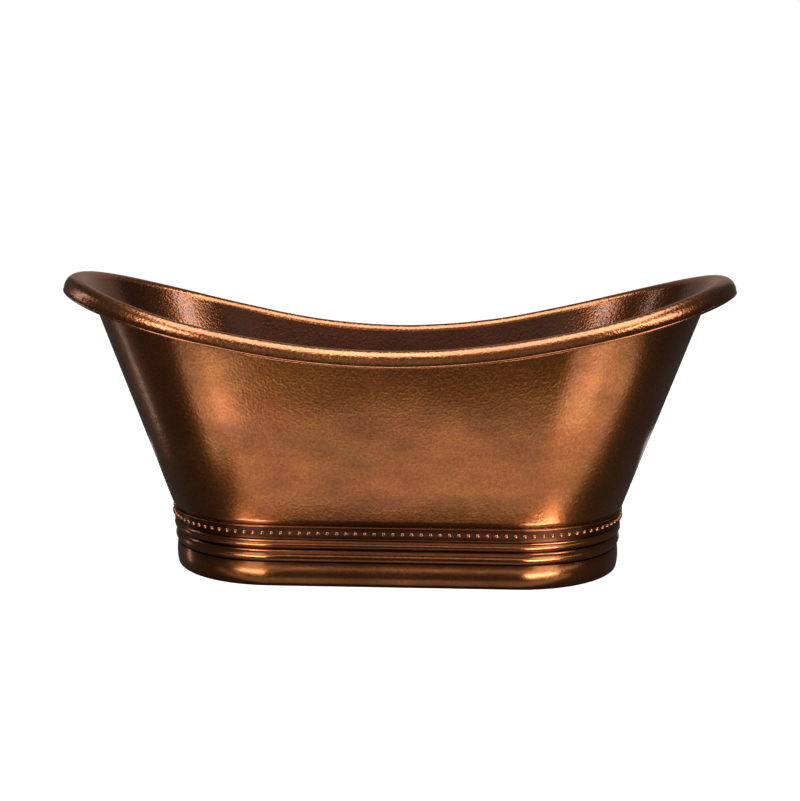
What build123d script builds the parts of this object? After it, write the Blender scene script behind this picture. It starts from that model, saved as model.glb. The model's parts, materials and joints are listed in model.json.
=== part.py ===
"""Freestanding double-slipper bath in hammered copper on a moulded, beaded plinth.

Millimetres. X runs along the bath, Y across it, +Z up. The origin is the middle of
the footprint, on the floor.
"""

import math
import os

from build123d import *

# ---------------------------------------------------------------- driving dimensions
overall_length = 1700.0
crest_middle_z = 586.0  # top of the rim at the middle of each long side
crest_end_z = 748.0  # top of the rim at both raised ends
copper = 2.0  # gauge of the tub and plinth sheet

# Rolled rim, measured outwards (n) and upwards (z) from the top of the wall line.
shoulder_radius = 18.0  # outside of the bend out of the wall
roll_drop = 32.0
roll_reach = 49.0
rim_leg = 18.0  # straight-down reach of the rim sheet to its joint with the wall
rim_wire_radius = 2.8
rim_wire_n = 48.3
rim_wire_z = -35.5

# Every level of the tub and plinth is a slot: two straight sides, two round ends.
plinth_straight = 300.0  # half of the straight side, shared by the whole plinth
neck_radius = 279.0  # tub where it drops inside the plinth
neck_top_z = 150.0
wall_foot_radius = 285.5
wall_foot_z = 158.0
side_radius_at_middle = 348.0  # half width of the wall line at the middle of the rim
seam_x = 300.0  # butt seams between the side sheets and the end sheets
rim_joint_gap = 0.6

# Floor pan
pan_joint_z = 148.0
pan_floor_z = 90.0  # underside of the floor
pan_corner_radius = 58.0
drain_hole_radius = 26.0

# Plinth levels
foot_top_z = 59.8
lower_torus_top_z = 93.8
upper_torus_top_z = 118.0
band_low_z = 121.5
band_high_z = 148.5
moulding_sheet = 1.5
skirt_radius = 272.0
skirt_low_z = 5.5
collar_radius = 281.1
collar_top_z = 147.0
step_low_z = 114.2  # where the skirt's outer face starts to step out to the collar
step_high_z = 120.2
step_sheet = 0.8  # how much higher the step's inner face lies

# Foot band, outwards from the slot's centre line
flange_inner_radius = 254.0
toe_radius = 270.5
heel_radius = 275.6
heel_z = 5.5
foot_crown_radius = 278.0
foot_crown_z = 30.0
foot_top_radius = 275.2
lip_radius = 272.3

# Half-round mouldings and the wire round the tub's neck
moulding_gap = 0.4
moulding_edge_radius = 272.3
lower_crown_radius = 280.5
upper_edge_radius = 278.3
upper_crown_radius = 283.5
neck_wire_radius = 1.9
neck_wire_line = (284.9, 151.1)

# Bead row
bead_count = 132
bead_radius = 5.8
bead_z = 135.5
bead_gap = 0.1  # solder film behind each bead
strip_radius = 282.6

# Cradle that carries the pan
rail_y = 150.0
rail_half_length = 450.0
rail_width = 30.0
tube_wall = 2.5
crossbar_x = (-270.0, -110.0, 110.0, 270.0)
crossbar_half_length = 262.0
crossbar_size = 30.0
pad_height = 6.0
strip_height = 4.0
foot_pad_y = 232.0
bracket_sheet = 3.0
bracket_screw_y = skirt_radius - copper - 34

# Waste fitting, on the vertical centre line
floor_top_z = pan_floor_z + copper
flange_radius = 35.0
waste_body_radius = 24.0
waste_bottom_z = 54.0
tail_radius = 19.05
tail_bore = 16.9
tail_bottom_z = 12.0
seat_z = 93.5
flange_top_z = 96.5
cartridge_radius = 8.0
cartridge_bore = 5.6
stem_radius = 4.0
plug_radius = 27.0
plug_gap = 0.3

# ---------------------------------------------------------------- tub geometry
wall_line_end = overall_length / 2 - rim_wire_n - rim_wire_radius
side_slope = (side_radius_at_middle - wall_foot_radius) / (crest_middle_z - wall_foot_z)
end_slope = (wall_line_end - plinth_straight - wall_foot_radius) / (crest_end_z - wall_foot_z)
spread_slope = end_slope - side_slope  # how fast the two end centres move apart
saddle_quartic = -21.0
saddle_square = crest_end_z - crest_middle_z - saddle_quartic


def wall_radius(z):
    return wall_foot_radius + side_slope * (z - wall_foot_z)


def wall_straight(z):
    return plinth_straight + spread_slope * (z - wall_foot_z)


def crest_height(x):
    u = abs(x) / wall_line_end
    return crest_middle_z + saddle_square * u**2 + saddle_quartic * u**4


def crest_point(angle):
    """Point of the rim's wall line on the +X end, front side, 0 at the tip, 90 at the side."""
    z = crest_end_z
    for _ in range(40):
        x = wall_straight(z) + wall_radius(z) * math.cos(math.radians(angle))
        z = crest_height(x)
    return x, -wall_radius(z) * math.sin(math.radians(angle)), z


def rim_stations():
    """(x, y, z, outward angle, wall slope) along a quarter of the rim, side middle to tip."""
    stations = []
    side_end_x = crest_point(90)[0]
    for share in (0.0, 0.25, 0.5, 0.75):
        x = share * side_end_x
        z = crest_height(x)
        stations.append((x, -wall_radius(z), z, 90.0, side_slope))
    for angle in (90, 78, 66, 54, 42, 30, 20, 10, 0):
        x, y, z = crest_point(angle)
        slope = side_slope + spread_slope * math.cos(math.radians(angle))
        stations.append((x, y, z, float(angle), slope))
    return stations


def station_plane(x, y, z, angle):
    """Upright plane across the rim: local X is outwards, local Y is up."""
    outward = Vector(math.cos(math.radians(angle)), -math.sin(math.radians(angle)), 0)
    return Plane(origin=(x, y, z), x_dir=outward, z_dir=outward.cross(Vector(0, 0, 1)))


def mirrored_ring(quarter):
    """All four quarters of a ring that is symmetric about both upright centre planes."""
    with BuildPart() as ring:
        add(quarter)
        mirror(about=Plane.YZ)
        mirror(about=Plane.XZ)
    return ring.part


def slot_ring(outline):
    """Carries a section drawn as (radius, z) once round the plinth's slot path."""
    with BuildPart() as half:
        with BuildSketch(Plane.YZ.offset(plinth_straight)) as section:
            add(outline)
        revolve(axis=Axis((plinth_straight, 0, 0), (0, 0, -1)), revolution_arc=180)
        extrude(section.sketch, amount=-2 * plinth_straight)
    with BuildPart() as ring:
        with PolarLocations(0, 2):
            add(half.part)
    return ring.part


def save(part, name):
    part.label = name
    export_step(part, f"parts/{name}.step")


# ---------------------------------------------------------------- tub
def tub_block(inset):
    """Solid bounded by the outside of the tub wall moved in by inset, cut at the rim joint."""
    levels = (
        (pan_joint_z, neck_radius, plinth_straight),
        (neck_top_z, neck_radius, plinth_straight),
        (wall_foot_z, wall_foot_radius, plinth_straight),
        (crest_end_z, wall_radius(crest_end_z), wall_straight(crest_end_z)),
    )
    with BuildPart() as block:
        for z, radius, straight in levels:
            with BuildSketch(Plane.XY.offset(z)):
                SlotCenterToCenter(2 * straight, 2 * (radius - inset))
        loft(ruled=True)
        with BuildSketch(Plane.XZ):
            with BuildLine():
                joint_drop = rim_leg + rim_joint_gap
                reach = wall_line_end + 20
                xs = [reach * k / 4 for k in range(-4, 5)]
                edge = Spline(*[(x, crest_height(x) - joint_drop) for x in xs])
                Polyline(edge @ 1, (reach, 900), (-reach, 900), edge @ 0)
            make_face()
        extrude(amount=500, both=True, mode=Mode.SUBTRACT)
    return block.part


def wall_shell():
    with BuildPart() as shell:
        add(tub_block(0.0))
        add(tub_block(copper), mode=Mode.SUBTRACT)
    return shell.part


def wall_panel(shell, low_x, high_x, side):
    """The part of the wall between two upright seams, on one side of the centre plane or both."""
    with BuildPart() as panel:
        add(shell)
        if low_x is not None:
            split(bisect_by=Plane.YZ.offset(low_x), keep=Keep.TOP)
        if high_x is not None:
            split(bisect_by=Plane.YZ.offset(high_x), keep=Keep.BOTTOM)
        if side:
            split(bisect_by=Plane.XZ, keep=Keep.TOP if side == "front" else Keep.BOTTOM)
    return panel.part


def make_floor_pan():
    with BuildPart() as floor_pan:
        with BuildSketch(Plane.XY.offset(pan_floor_z)):
            SlotCenterToCenter(2 * plinth_straight, 2 * neck_radius)
        extrude(amount=pan_joint_z - pan_floor_z + 1)
        fillet(floor_pan.edges().group_by(Axis.Z)[0], pan_corner_radius)
        split(bisect_by=Plane.XY.offset(pan_joint_z), keep=Keep.BOTTOM)
    with BuildPart() as inside:
        with BuildSketch(Plane.XY.offset(floor_top_z)):
            SlotCenterToCenter(2 * plinth_straight, 2 * (neck_radius - copper))
        extrude(amount=pan_joint_z - floor_top_z + 1)
        fillet(inside.edges().group_by(Axis.Z)[0], pan_corner_radius - copper)
    with BuildPart() as pan:
        add(floor_pan.part)
        add(inside.part, mode=Mode.SUBTRACT)
        with Locations((0, 0, pan_floor_z)):
            Cylinder(drain_hole_radius, 20, mode=Mode.SUBTRACT)
    return pan.part


def make_rolled_rim():
    """Sheet that turns out of the wall over a tight shoulder and rolls down to the wire."""
    reach = roll_reach - (shoulder_radius - copper)
    roll_radius = (reach**2 + roll_drop**2) / (2 * roll_drop)
    roll_angle = math.asin(reach / roll_radius)
    centre_n = shoulder_radius - copper

    def on_roll(radius, share):
        turn = share * roll_angle
        return centre_n + radius * math.sin(turn), radius * math.cos(turn) - roll_radius

    def on_shoulder(radius, slope):
        side = radius * math.sqrt(0.5)
        return centre_n - side - 0.3 * rim_leg * slope, side - shoulder_radius

    with BuildPart() as quarter:
        for x, y, z, angle, slope in rim_stations():
            lean = rim_leg * slope
            with BuildSketch(station_plane(x, y, z, angle)):
                with BuildLine():
                    inner = (-copper - lean, -rim_leg)
                    outer = (-lean, -rim_leg)
                    top = on_roll(roll_radius, 0)
                    under = on_roll(roll_radius - copper, 0)
                    tip = on_roll(roll_radius, 1)
                    under_tip = on_roll(roll_radius - copper, 1)
                    ThreePointArc(inner, on_shoulder(shoulder_radius, slope), top)
                    ThreePointArc(top, on_roll(roll_radius, 0.5), tip)
                    Line(tip, under_tip)
                    ThreePointArc(under_tip, on_roll(roll_radius - copper, 0.5), under)
                    ThreePointArc(under, on_shoulder(shoulder_radius - copper, slope), outer)
                    Line(outer, inner)
                make_face()
        loft()
    return mirrored_ring(quarter.part)


def make_rim_wire():
    """Round wire under the rim's edge, its section drawn as three equal arcs."""
    with BuildPart() as quarter:
        for x, y, z, angle, _ in rim_stations():
            turns = [math.radians(60 * k) for k in range(7)]
            dots = [
                (rim_wire_n + rim_wire_radius * math.cos(t), rim_wire_z + rim_wire_radius * math.sin(t))
                for t in turns
            ]
            dots[6] = dots[0]
            with BuildSketch(station_plane(x, y, z, angle)):
                with BuildLine():
                    for k in (0, 2, 4):
                        ThreePointArc(dots[k], dots[k + 1], dots[k + 2])
                make_face()
        loft()
    return mirrored_ring(quarter.part)


# ---------------------------------------------------------------- plinth
def make_plinth_skirt():
    """Backing sheet: an upright skirt that steps out to the collar round the tub's neck."""
    with BuildSketch() as section:
        with BuildLine():
            Polyline(
                (skirt_radius - copper, skirt_low_z),
                (skirt_radius - copper, step_low_z + step_sheet),
                (collar_radius - moulding_sheet, step_high_z + step_sheet),
                (collar_radius - moulding_sheet, collar_top_z),
                (collar_radius, collar_top_z),
                (collar_radius, step_high_z),
                (skirt_radius, step_low_z),
                (skirt_radius, skirt_low_z),
                close=True,
            )
        make_face()
    return slot_ring(section.sketch)


def make_torus(low_z, high_z, low_radius, high_radius, crown_radius):
    """Hollow half-round moulding: a bent sheet with both edges against the skirt."""
    middle_z = (low_z + high_z) / 2
    with BuildSketch() as section:
        with BuildLine():
            low, high = (low_radius, low_z), (high_radius, high_z)
            low_in = (low_radius, low_z + moulding_sheet)
            high_in = (high_radius, high_z - moulding_sheet)
            ThreePointArc(low, (crown_radius, middle_z), high)
            Line(high, high_in)
            ThreePointArc(high_in, (crown_radius - moulding_sheet, middle_z), low_in)
            Line(low_in, low)
        make_face()
    return slot_ring(section.sketch)


def make_plinth_foot():
    """Foot band: slightly convex, turned in at the top and under the bottom."""
    with BuildSketch() as section:
        with BuildLine():
            edge = (flange_inner_radius, 0)
            toe = (toe_radius, 0)
            heel = (heel_radius, heel_z)
            crown = (foot_crown_radius, foot_crown_z)
            top = (foot_top_radius, foot_top_z)
            lip = (lip_radius, foot_top_z)
            heel_in = (heel_radius - copper, heel_z)
            crown_in = (foot_crown_radius - copper, foot_crown_z)
            top_in = (foot_top_radius - copper, foot_top_z - copper)
            toe_bend = (heel_radius - 1.5, 1.6)
            toe_bend_in = (heel_radius - 2.7, 3.2)
            Line(edge, toe)
            ThreePointArc(toe, toe_bend, heel)
            ThreePointArc(heel, crown, top)
            Polyline(top, lip, (lip_radius, foot_top_z - copper), top_in)
            ThreePointArc(top_in, crown_in, heel_in)
            ThreePointArc(heel_in, toe_bend_in, (toe_radius, copper))
            Polyline((toe_radius, copper), (flange_inner_radius, copper), edge)
        make_face()
    return slot_ring(section.sketch)


def slot_places(count, radius):
    """count points and outward angles, evenly spaced along the slot path at one radius."""
    straight = 2 * plinth_straight
    arc = math.pi * radius
    places = []
    for k in range(count):
        s = (k + 0.5) * 2 * (straight + arc) / count
        turned = s >= straight + arc
        s -= (straight + arc) if turned else 0
        if s < straight:
            x, y, angle = s - plinth_straight, -radius, -90.0
        else:
            angle = -90.0 + math.degrees((s - straight) / radius)
            x = plinth_straight + radius * math.cos(math.radians(angle))
            y = radius * math.sin(math.radians(angle))
        if turned:
            x, y, angle = -x, -y, angle + 180
        places.append((x, y, angle))
    return places


def make_bead_strip():
    """Flat strip on the collar that the beads are sweated to."""
    with BuildSketch() as section:
        with Locations((strip_radius - moulding_sheet / 2, (band_low_z + band_high_z) / 2)):
            Rectangle(moulding_sheet, band_high_z - band_low_z)
    return slot_ring(section.sketch)


def make_bead_row():
    """Half-round beads, evenly pitched along the strip, each with a flat back."""
    with BuildPart() as bead:
        Sphere(bead_radius)
        split(bisect_by=Plane.YZ, keep=Keep.TOP)
    spots = [
        Location((x, y, bead_z), (0, 0, angle))
        for x, y, angle in slot_places(bead_count, strip_radius + bead_gap)
    ]
    with BuildPart() as row:
        with Locations(*spots):
            add(bead.part)
    return row.part


def make_band_wire():
    with BuildSketch() as section:
        with Locations(neck_wire_line):
            Circle(neck_wire_radius)
    return slot_ring(section.sketch)


# ---------------------------------------------------------------- cradle
def make_rail(y):
    """Box-section rail along the bath, between the crossbars and the rubber strip."""
    low = pad_height + crossbar_size
    high = pan_floor_z - strip_height
    with BuildPart() as rail:
        with BuildSketch(Plane.YZ.offset(-rail_half_length)):
            with Locations((y, (low + high) / 2)):
                Rectangle(rail_width, high - low)
                Rectangle(rail_width - 2 * tube_wall, high - low - 2 * tube_wall, mode=Mode.SUBTRACT)
        extrude(amount=2 * rail_half_length)
    return rail.part


def make_crossbars():
    with BuildPart() as bars:
        with BuildSketch(Plane.XZ.offset(-crossbar_half_length)):
            for x in crossbar_x:
                with Locations((x, pad_height + crossbar_size / 2)):
                    Rectangle(crossbar_size, crossbar_size)
                    hollow = crossbar_size - 2 * tube_wall
                    Rectangle(hollow, hollow, mode=Mode.SUBTRACT)
        extrude(amount=2 * crossbar_half_length)
    return bars.part


def crossbar_ends(y):
    return [(x, side * y) for x in crossbar_x for side in (-1, 1)]


def make_floor_pads():
    with BuildPart() as pads:
        with BuildSketch(Plane.XY):
            with Locations(*crossbar_ends(foot_pad_y)):
                RectangleRounded(28, 34, 4)
        extrude(amount=pad_height)
    return pads.part


def make_pan_strips():
    with BuildPart() as strips:
        with BuildSketch(Plane.XY.offset(pan_floor_z - strip_height)):
            with Locations((0, -rail_y), (0, rail_y)):
                Rectangle(2 * rail_half_length - 30, rail_width - 4)
        extrude(amount=strip_height)
    return strips.part


def make_skirt_brackets():
    """Angle brackets that tie the skirt to the ends of the crossbars."""
    skirt_inside = skirt_radius - copper
    seat = pad_height + crossbar_size
    with BuildPart() as bracket:
        with BuildSketch(Plane.YZ.offset(-12)):
            with BuildLine():
                Polyline(
                    (skirt_inside - 50, seat),
                    (skirt_inside - bracket_sheet, seat),
                    (skirt_inside - bracket_sheet, 14),
                    (skirt_inside, 14),
                    (skirt_inside, seat + bracket_sheet),
                    (skirt_inside - 50, seat + bracket_sheet),
                    close=True,
                )
            make_face()
        extrude(amount=24)
        with Locations((0, bracket_screw_y, seat)):
            Cylinder(3.3, 10, mode=Mode.SUBTRACT)
    with BuildPart() as brackets:
        with Locations(*[(x, 0) for x in crossbar_x]):
            add(bracket.part)
        mirror(about=Plane.XZ)
    return brackets.part


def make_bracket_screws():
    seat = pad_height + crossbar_size
    with BuildPart() as screws:
        with BuildSketch(Plane.XY.offset(seat + bracket_sheet)):
            with Locations(*crossbar_ends(bracket_screw_y)):
                RegularPolygon(6.0, 6)
        extrude(amount=4)
        with BuildSketch(Plane.XY.offset(seat - tube_wall)):
            with Locations(*crossbar_ends(bracket_screw_y)):
                Circle(3.0)
        extrude(amount=bracket_sheet + tube_wall)
    return screws.part


def drill_crossbars(bars):
    """Screw holes through the top wall of each crossbar."""
    holes = [(x, y, pad_height + crossbar_size) for x, y in crossbar_ends(bracket_screw_y)]
    with BuildPart() as drilled:
        add(bars)
        with Locations(*holes):
            Cylinder(3.3, 12, mode=Mode.SUBTRACT)
    return drilled.part


# ---------------------------------------------------------------- waste
def turned(outline):
    """A part turned about the waste's centre line from a closed (radius, z) outline."""
    with BuildPart() as piece:
        with BuildSketch(Plane.XZ):
            with BuildLine():
                Polyline(*outline, close=True)
            make_face()
        revolve(axis=Axis.Z)
    return piece.part


def make_drain_flange():
    """Flange, threaded body and three-arm strainer that carries the plug cartridge."""
    body = turned(
        [
            (22.0, seat_z),
            (22.0, 88.0),
            (20.5, 86.0),
            (20.5, 68.0),
            (18.3, 66.0),
            (18.3, waste_bottom_z),
            (waste_body_radius, waste_bottom_z),
            (waste_body_radius, seat_z),
            (flange_radius, seat_z),
            (flange_radius - 1.5, flange_top_z - 0.8),
            (flange_radius - 5, flange_top_z),
            (25.5, flange_top_z),
        ]
    )
    with BuildPart() as flange:
        add(body)
        with PolarLocations(0, 3):
            with Locations((14.5, 0, 82)):
                Box(14, 4, 6)
        with Locations((0, 0, 82)):
            Cylinder(11, 6)
            Cylinder(cartridge_radius + 0.1, 8, mode=Mode.SUBTRACT)
    return flange.part


def make_locknut():
    with BuildPart() as nut:
        with BuildSketch(Plane.XY.offset(74)):
            RegularPolygon(33, 6, major_radius=False)
            Circle(waste_body_radius + 0.2, mode=Mode.SUBTRACT)
        extrude(amount=10)
        chamfer(nut.edges().filter_by(GeomType.LINE).filter_by(Axis.Z), 1.0)
    return nut.part


def make_tailpiece():
    """Tube that the house drain takes, with a collar and a spigot up inside the body."""
    return turned(
        [
            (tail_bore, tail_bottom_z),
            (tail_radius, tail_bottom_z),
            (tail_radius, 50.0),
            (23.0, 50.0),
            (23.0, waste_bottom_z),
            (18.1, waste_bottom_z),
            (18.1, 64.0),
            (tail_bore, 64.0),
        ]
    )


def make_cartridge():
    return turned(
        [
            (0, 58.0),
            (cartridge_radius, 58.0),
            (cartridge_radius, 85.0),
            (10.5, 85.0),
            (10.5, 89.0),
            (stem_radius + 0.06, 89.0),
            (stem_radius + 0.06, 87.0),
            (cartridge_bore, 87.0),
            (cartridge_bore, 60.0),
            (0, 60.0),
        ]
    )


def make_plug_stem():
    return turned(
        [
            (0, 62.5),
            (2.2, 62.5),
            (2.2, 72.0),
            (cartridge_bore - 0.05, 72.0),
            (cartridge_bore - 0.05, 76.0),
            (stem_radius, 76.0),
            (stem_radius, 99.0),
            (0, 99.0),
        ]
    )


def make_plug_cap():
    low = flange_top_z + plug_gap + 1.7
    with BuildPart() as cap:
        add(
            turned(
                [
                    (0, low),
                    (plug_radius - 3, low),
                    (plug_radius, low + 1.2),
                    (plug_radius, low + 2.4),
                    (plug_radius - 4, low + 4.6),
                    (12, low + 6.0),
                    (0, low + 6.4),
                ]
            )
        )
        with Locations((0, 0, low)):
            Cylinder(stem_radius + 0.05, 2 * (99.0 - low) + 0.1, mode=Mode.SUBTRACT)
    return cap.part


def make_plug_spring():
    """Six-turn compression spring round the stem's pilot, under its piston."""
    with BuildPart() as spring:
        with BuildLine() as line:
            Helix(pitch=1.75, height=10.5, radius=3.6, center=(0, 0, 60.8))
        with BuildSketch(Plane(origin=line.line @ 0, z_dir=line.line % 0)):
            Circle(0.45)
        sweep(is_frenet=True)
    return spring.part


def ring_part(inner, outer, low, high):
    return turned([(inner, low), (outer, low), (outer, high), (inner, high)])


# ---------------------------------------------------------------- build
def main():
    os.makedirs("parts", exist_ok=True)

    shell = wall_shell()
    save(wall_panel(shell, -seam_x, seam_x, "front"), "wall_front")
    save(wall_panel(shell, -seam_x, seam_x, "back"), "wall_back")
    save(wall_panel(shell, None, -seam_x, None), "wall_left")
    save(wall_panel(shell, seam_x, None, None), "wall_right")
    save(make_floor_pan(), "floor_pan")
    save(make_rolled_rim(), "rolled_rim")
    save(make_rim_wire(), "rim_wire")

    save(make_plinth_skirt(), "plinth_skirt")
    save(make_plinth_foot(), "plinth_foot")
    edge = moulding_edge_radius
    lower_z = foot_top_z + moulding_gap
    upper_z = lower_torus_top_z + moulding_gap
    lower = make_torus(lower_z, lower_torus_top_z, edge, edge, lower_crown_radius)
    upper = make_torus(upper_z, upper_torus_top_z, edge, upper_edge_radius, upper_crown_radius)
    save(lower, "lower_torus")
    save(upper, "upper_torus")
    save(make_bead_strip(), "bead_strip")
    save(make_bead_row(), "bead_row")
    save(make_band_wire(), "band_wire")

    save(make_rail(-rail_y), "rail_front")
    save(make_rail(rail_y), "rail_back")
    save(drill_crossbars(make_crossbars()), "crossbars")
    save(make_floor_pads(), "floor_pads")
    save(make_pan_strips(), "pan_strips")
    save(make_skirt_brackets(), "skirt_brackets")
    save(make_bracket_screws(), "bracket_screws")

    save(make_drain_flange(), "drain_flange")
    save(ring_part(27.0, 33.0, floor_top_z, seat_z), "flange_seal")
    save(ring_part(24.4, 38.0, 86.0, pan_floor_z), "lower_gasket")
    save(ring_part(24.3, 38.0, 84.0, 86.0), "friction_washer")
    save(make_locknut(), "waste_locknut")
    save(make_tailpiece(), "tailpiece")
    save(make_cartridge(), "click_cartridge")
    save(ring_part(4.5, 5.5, 60.0, 66.0), "latch_sleeve")
    save(make_plug_cap(), "plug_cap")
    seal_low = flange_top_z + plug_gap
    save(ring_part(stem_radius + 0.3, plug_radius - 1.5, seal_low, seal_low + 1.7), "plug_seal")
    save(make_plug_stem(), "plug_stem")
    save(make_plug_spring(), "plug_spring")


main()
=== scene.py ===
"""Looks of a freestanding double-slipper copper bath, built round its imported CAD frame.

Metres throughout, in the frame's axes: X along the bath, Y across it, +Z up.
The copper is built here as dense sheets with every hammer mark in the mesh.
"""

import json
import math

import bpy
import numpy as np
from mathutils import Matrix, Vector


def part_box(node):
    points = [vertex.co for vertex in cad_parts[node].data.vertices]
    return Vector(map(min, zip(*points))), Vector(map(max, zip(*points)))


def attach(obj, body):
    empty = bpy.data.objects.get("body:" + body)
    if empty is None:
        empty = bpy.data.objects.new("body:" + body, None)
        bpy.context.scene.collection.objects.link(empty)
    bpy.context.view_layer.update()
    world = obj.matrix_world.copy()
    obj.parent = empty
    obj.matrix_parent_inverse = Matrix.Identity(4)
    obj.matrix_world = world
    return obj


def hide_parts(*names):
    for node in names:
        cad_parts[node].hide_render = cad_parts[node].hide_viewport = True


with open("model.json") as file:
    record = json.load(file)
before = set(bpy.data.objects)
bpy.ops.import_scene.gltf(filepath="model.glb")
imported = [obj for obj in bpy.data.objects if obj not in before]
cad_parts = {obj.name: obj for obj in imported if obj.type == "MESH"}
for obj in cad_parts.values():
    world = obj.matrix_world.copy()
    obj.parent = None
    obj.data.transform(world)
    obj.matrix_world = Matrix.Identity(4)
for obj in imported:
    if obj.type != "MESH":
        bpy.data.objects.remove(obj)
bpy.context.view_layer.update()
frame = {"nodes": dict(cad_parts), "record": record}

# ---------------------------------------------------------------- sizes of the tub
half_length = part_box("rim_wire")[1].x
crest_end_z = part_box("rolled_rim")[1].z
crest_middle_z = 0.586
sheet = 0.002

shoulder_radius = 0.018
roll_drop = 0.032
roll_reach = 0.049
rim_wire_radius = 0.0028
# place of the wire's middle, outwards and upwards from the crest
rim_wire_n = 0.0483
rim_wire_z = -0.0355

plinth_straight = 0.300
neck_radius = 0.279
neck_low_z = 0.148
foot_radius = 0.2855
foot_z = 0.158
side_radius_at_middle = 0.348
seam_x = 0.300
neck_step_height = 0.02

pan_floor_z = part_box("floor_pan")[0].z + sheet
pan_corner_radius = 0.056
drain_hole_radius = 0.026

# sizes of the plinth mouldings; radii run out from the slot's centre line
moulding_sheet = 0.0015
torus_foot_radius = 0.2723
lower_crown_radius = 0.2805
upper_edge_radius = 0.2783
upper_crown_radius = 0.2835
flange_inner_radius = 0.254
strip_radius = 0.2826
bead_count = 132
bead_radius = 0.0058
bead_z = 0.1355
band_wire_radius = 0.0019

# hammering: spacing and depth of the marks, and the slow swell of the hand-made sheet
outer_pitch = 0.0068
inner_pitch = 0.0062
outer_depth = 0.00010
inner_depth = 0.00018
rim_depth = 0.00016
swell_size = 0.16
swell_depth = 0.00025
plinth_swell_size = 0.07
plinth_swell_depth = 0.00012
row_offset = 100  # marks are counted from a joint, and this sets the first row of the pattern there

# density of the meshes
wall_step = 0.0024
wall_rows = 235
end_columns = 580
rim_lap = 4.05
settling_rounds = 30  # the crest and the wall under it depend on each other, and settle in turns

# ---------------------------------------------------------------- shape of the tub
wall_line_end = half_length - rim_wire_n - rim_wire_radius
side_slope = (side_radius_at_middle - foot_radius) / (crest_middle_z - foot_z)
end_slope = (wall_line_end - plinth_straight - foot_radius) / (crest_end_z - foot_z)
spread_slope = end_slope - side_slope
saddle_quartic = -0.021
saddle_square = crest_end_z - crest_middle_z - saddle_quartic
roll_width = roll_reach - (shoulder_radius - sheet)
roll_radius = (roll_width**2 + roll_drop**2) / (2 * roll_drop)
roll_angle = math.asin(roll_width / roll_radius)


def smooth_step(x):
    x = np.clip(x, 0, 1)
    return x * x * (3 - 2 * x)


def wall_radius(z):
    """Outer radius of the tub's ends, with a soft step in to the neck at the foot."""
    neck_step = foot_radius + side_slope * (neck_low_z - foot_z) - neck_radius
    above_neck = smooth_step((z - neck_low_z) / neck_step_height)
    return foot_radius + side_slope * (z - foot_z) - neck_step * (1 - above_neck)


def wall_straight(z):
    return plinth_straight + spread_slope * np.maximum(z - foot_z, 0)


def crest_height(x):
    u = np.abs(x) / wall_line_end
    return crest_middle_z + saddle_square * u**2 + saddle_quartic * u**4


def slot_lap(straight, radius):
    return 4 * straight + 2 * np.pi * radius


def slot_point(s, straight, radius):
    """Place and outward direction at distance s round a slot, from the middle of its front side."""
    half_lap = slot_lap(straight, radius) / 2
    laps = np.floor(s / half_lap)
    s = s - laps * half_lap
    side = np.where(laps % 2 == 0, 1.0, -1.0)
    turn = np.clip((s - straight) / radius, 0, np.pi) - np.pi / 2
    along = np.minimum(s, straight) - np.maximum(s - straight - np.pi * radius, 0)
    n_x, n_y = np.cos(turn), np.sin(turn)
    return side * (along + radius * n_x), side * radius * n_y, side * n_x, side * n_y


def crest_of(share):
    """Height of the rim's crest where a column, given by its share of the lap, meets it."""
    z = np.full(np.shape(share), crest_middle_z)
    for _ in range(settling_rounds):
        straight, radius = wall_straight(z), wall_radius(z)
        z = crest_height(slot_point(share * slot_lap(straight, radius), straight, radius)[0])
    return z


# ---------------------------------------------------------------- hammer marks
def marks(u, v, width, height, around, seed):
    """Height of a hammered surface over cells u, v: shallow round dents that meet in soft ridges.

    Each cell of width by height holds one dent, set off its middle and a little deeper or
    shallower at random. The pattern closes after around cells, and repeats every rows cells.
    """
    rng = np.random.default_rng(seed)
    rows, wander, unequal = 110, 0.36, 0.10
    jitter = rng.uniform(-wander, wander, (around, rows, 2))
    level = rng.uniform(0, unequal, (around, rows)) * height**2
    column, row = np.floor(u).astype(int), np.floor(v).astype(int)
    best = np.full(u.shape, 1.0)
    for i in (-1, 0, 1):
        for j in (-1, 0, 1):
            c, r = (column + i) % around, (row + j) % rows
            du = (u - column - i - 0.5 - jitter[c, r, 0]) * width
            dv = (v - row - j - 0.5 - jitter[c, r, 1]) * height
            best = np.minimum(best, du**2 + dv**2 + level[c, r])
    ridge_level = 0.34 * height**2  # squared distance at which neighbouring dents meet
    return best / ridge_level


def unevenness(points, size, seed):
    """Slow hand-made wobble of a sheet, about -1 to 1, from a few waves through space."""
    rng = np.random.default_rng(seed)
    total = np.zeros(points.shape[:-1])
    for _ in range(9):
        wave = rng.normal(0, 1, 3)
        wave *= 2 * np.pi / (size * rng.uniform(0.6, 1.6) * np.linalg.norm(wave))
        total += np.sin(points @ wave + rng.uniform(0, 2 * np.pi))
    return total / 4


# ---------------------------------------------------------------- grids and sheets
def grid_normals(points):
    """Unit normals of a (rows, columns, 3) grid, on its right-hand side."""
    n = np.cross(np.gradient(points, axis=1), np.gradient(points, axis=0))
    return n / np.linalg.norm(n, axis=-1, keepdims=True)


def dented(points, height):
    """Moves a grid along its normals by height, and returns its inner part with new normals."""
    moved = points + grid_normals(points) * height[..., None]
    return moved[1:-1, 1:-1], grid_normals(moved)[1:-1, 1:-1]


def quads_of(rows, columns, start, closed):
    """Vertex numbers of a grid's faces, turned to face the grid's normals."""
    last = columns if closed else columns - 1
    r, c = np.meshgrid(np.arange(rows - 1), np.arange(last), indexing="ij")
    following = (c + 1) % columns
    low, high = start + r * columns, start + (r + 1) * columns
    return np.stack([low + c, low + following, high + following, high + c], -1).reshape(-1, 4)


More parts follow.
